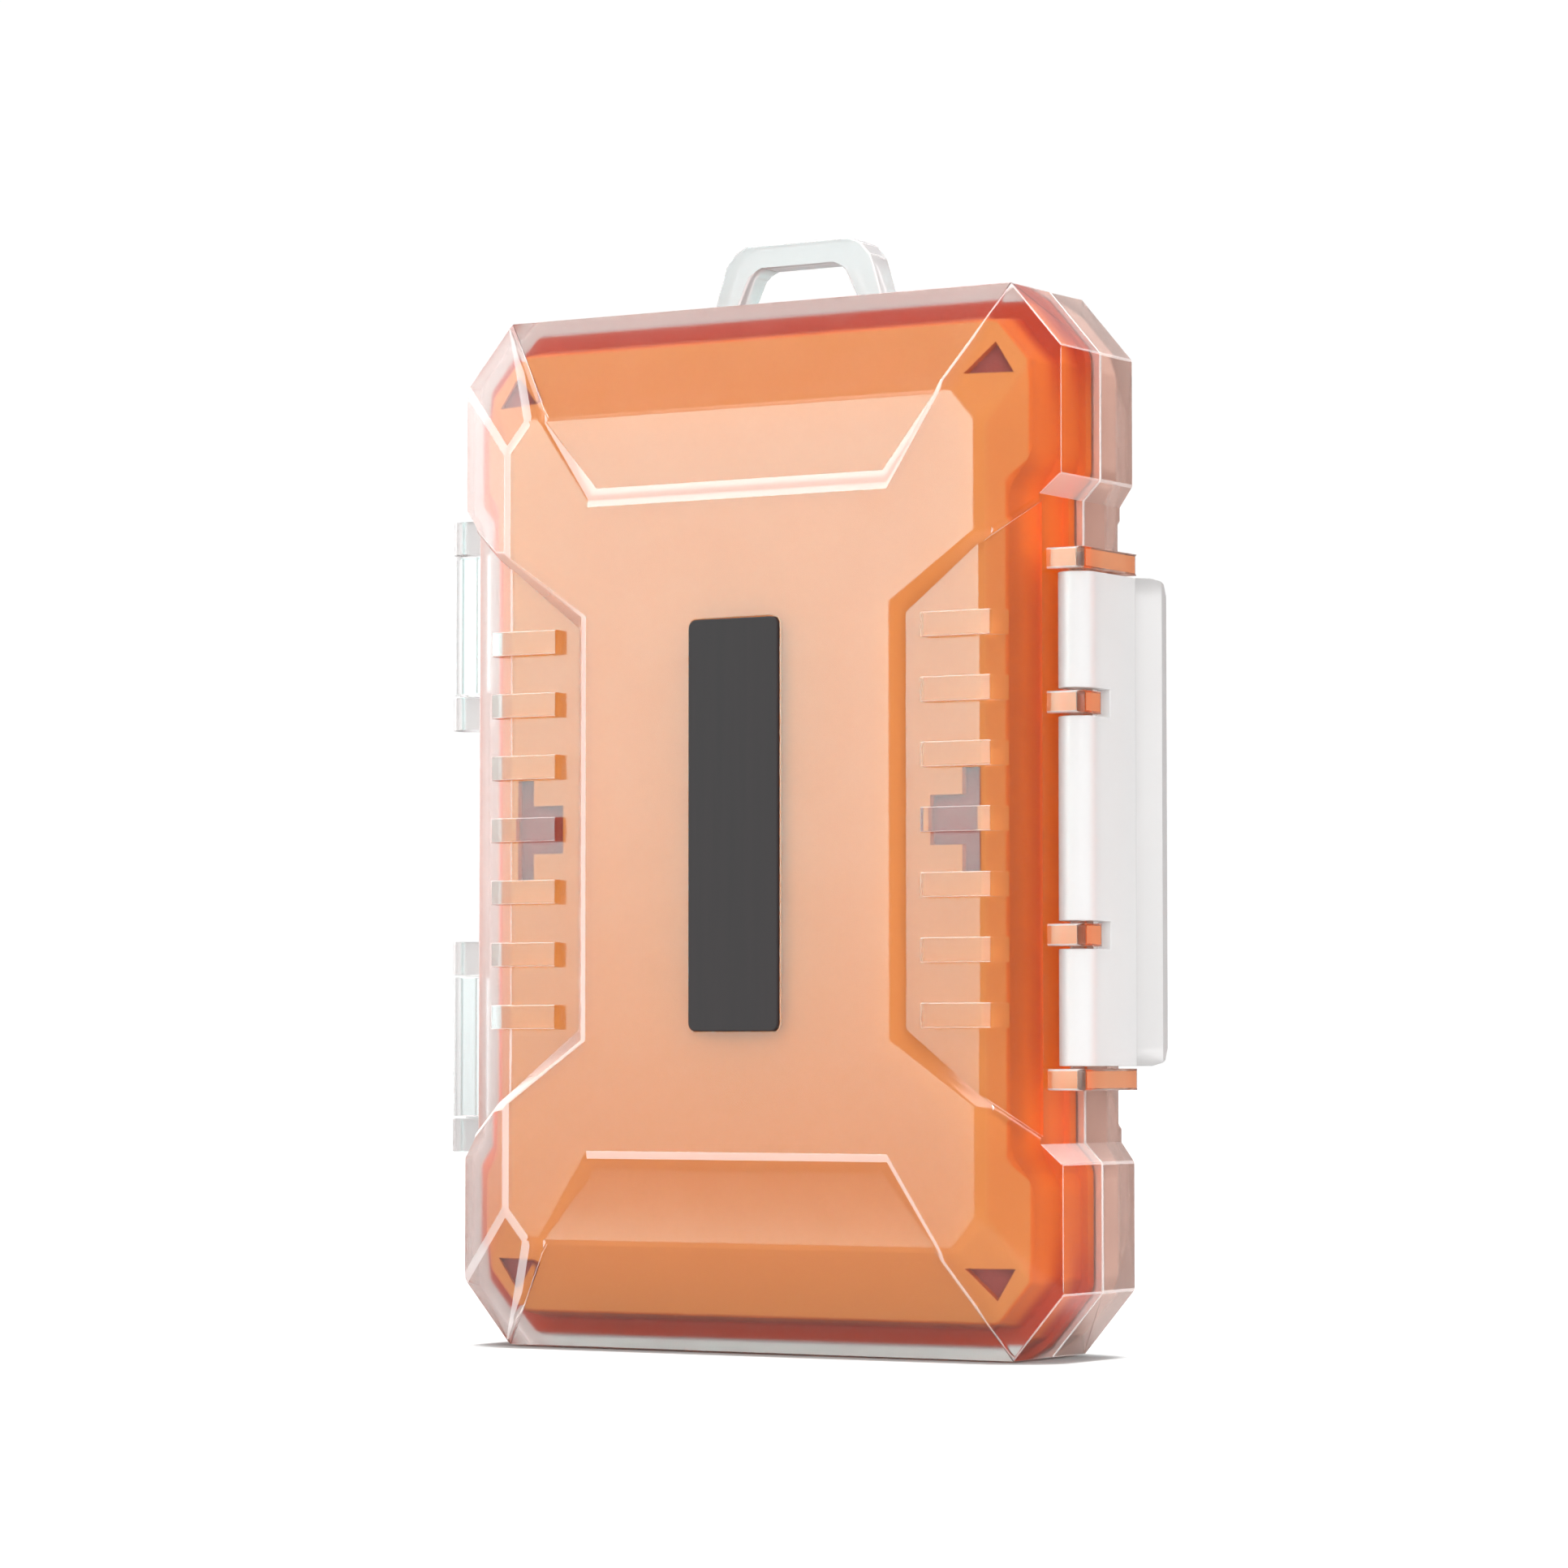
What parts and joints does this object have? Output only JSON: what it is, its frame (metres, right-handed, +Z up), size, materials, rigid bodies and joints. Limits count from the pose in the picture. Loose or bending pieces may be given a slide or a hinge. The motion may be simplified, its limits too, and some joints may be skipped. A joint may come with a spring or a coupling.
{
  "type": "memory card case",
  "caption": "Upright clear-shelled pocket case for memory cards, with an orange front liner, grey card trays, side hinges, a long latch and a lanyard loop.",
  "frame": {"origin": "on the bottom end, at the middle of the case's width, on the parting plane of its two halves", "axes": "+X from the hinges to the latch, +Y from the front face to the rear face, +Z up along the case's length to the loop"},
  "size_m": [0.0924, 0.0247, 0.1284],
  "materials": {
    "clear_cover": "clear moulded polycarbonate with a fine satin surface",
    "clear_latch": "clear moulded polycarbonate, milky where it is thick",
    "orange_liner": "soft moulded thermoplastic, satin",
    "pale_liner": "soft moulded thermoplastic, natural white, satin",
    "grey_tray": "soft dense foam rubber, matt",
    "dark_plate": "dark grey satin plate, bare",
    "seal": "translucent silicone, matt",
    "clear_pin": "clear extruded polycarbonate rod, satin"
  },
  "bodies": {
    "rear_half": {"rear_cover": "clear_cover", "rear_liner": "pale_liner", "rear_card_tray": "grey_tray", "rim_seal": "seal", "upper_hinge_pin": "clear_pin", "lower_hinge_pin": "clear_pin"},
    "front_half": {"front_cover": "clear_cover", "front_liner": "orange_liner", "front_card_tray": "grey_tray", "nameplate": "dark_plate", "latch_pin": "clear_pin"},
    "latch": {"latch": "clear_latch"}
  },
  "joints": [
    {"name": "lid_hinge", "type": "hinge", "parent": "rear_half", "child": "front_half", "pos_m": [-0.0451, 0, 0.06], "axis": [0, 0, -1], "range_deg": [0, 180]},
    {"name": "latch_pivot", "type": "hinge", "parent": "front_half", "child": "latch", "pos_m": [0.0404, -0.0061, 0.06], "axis": [0, 0, -1], "range_deg": [0, 110]}
  ]
}
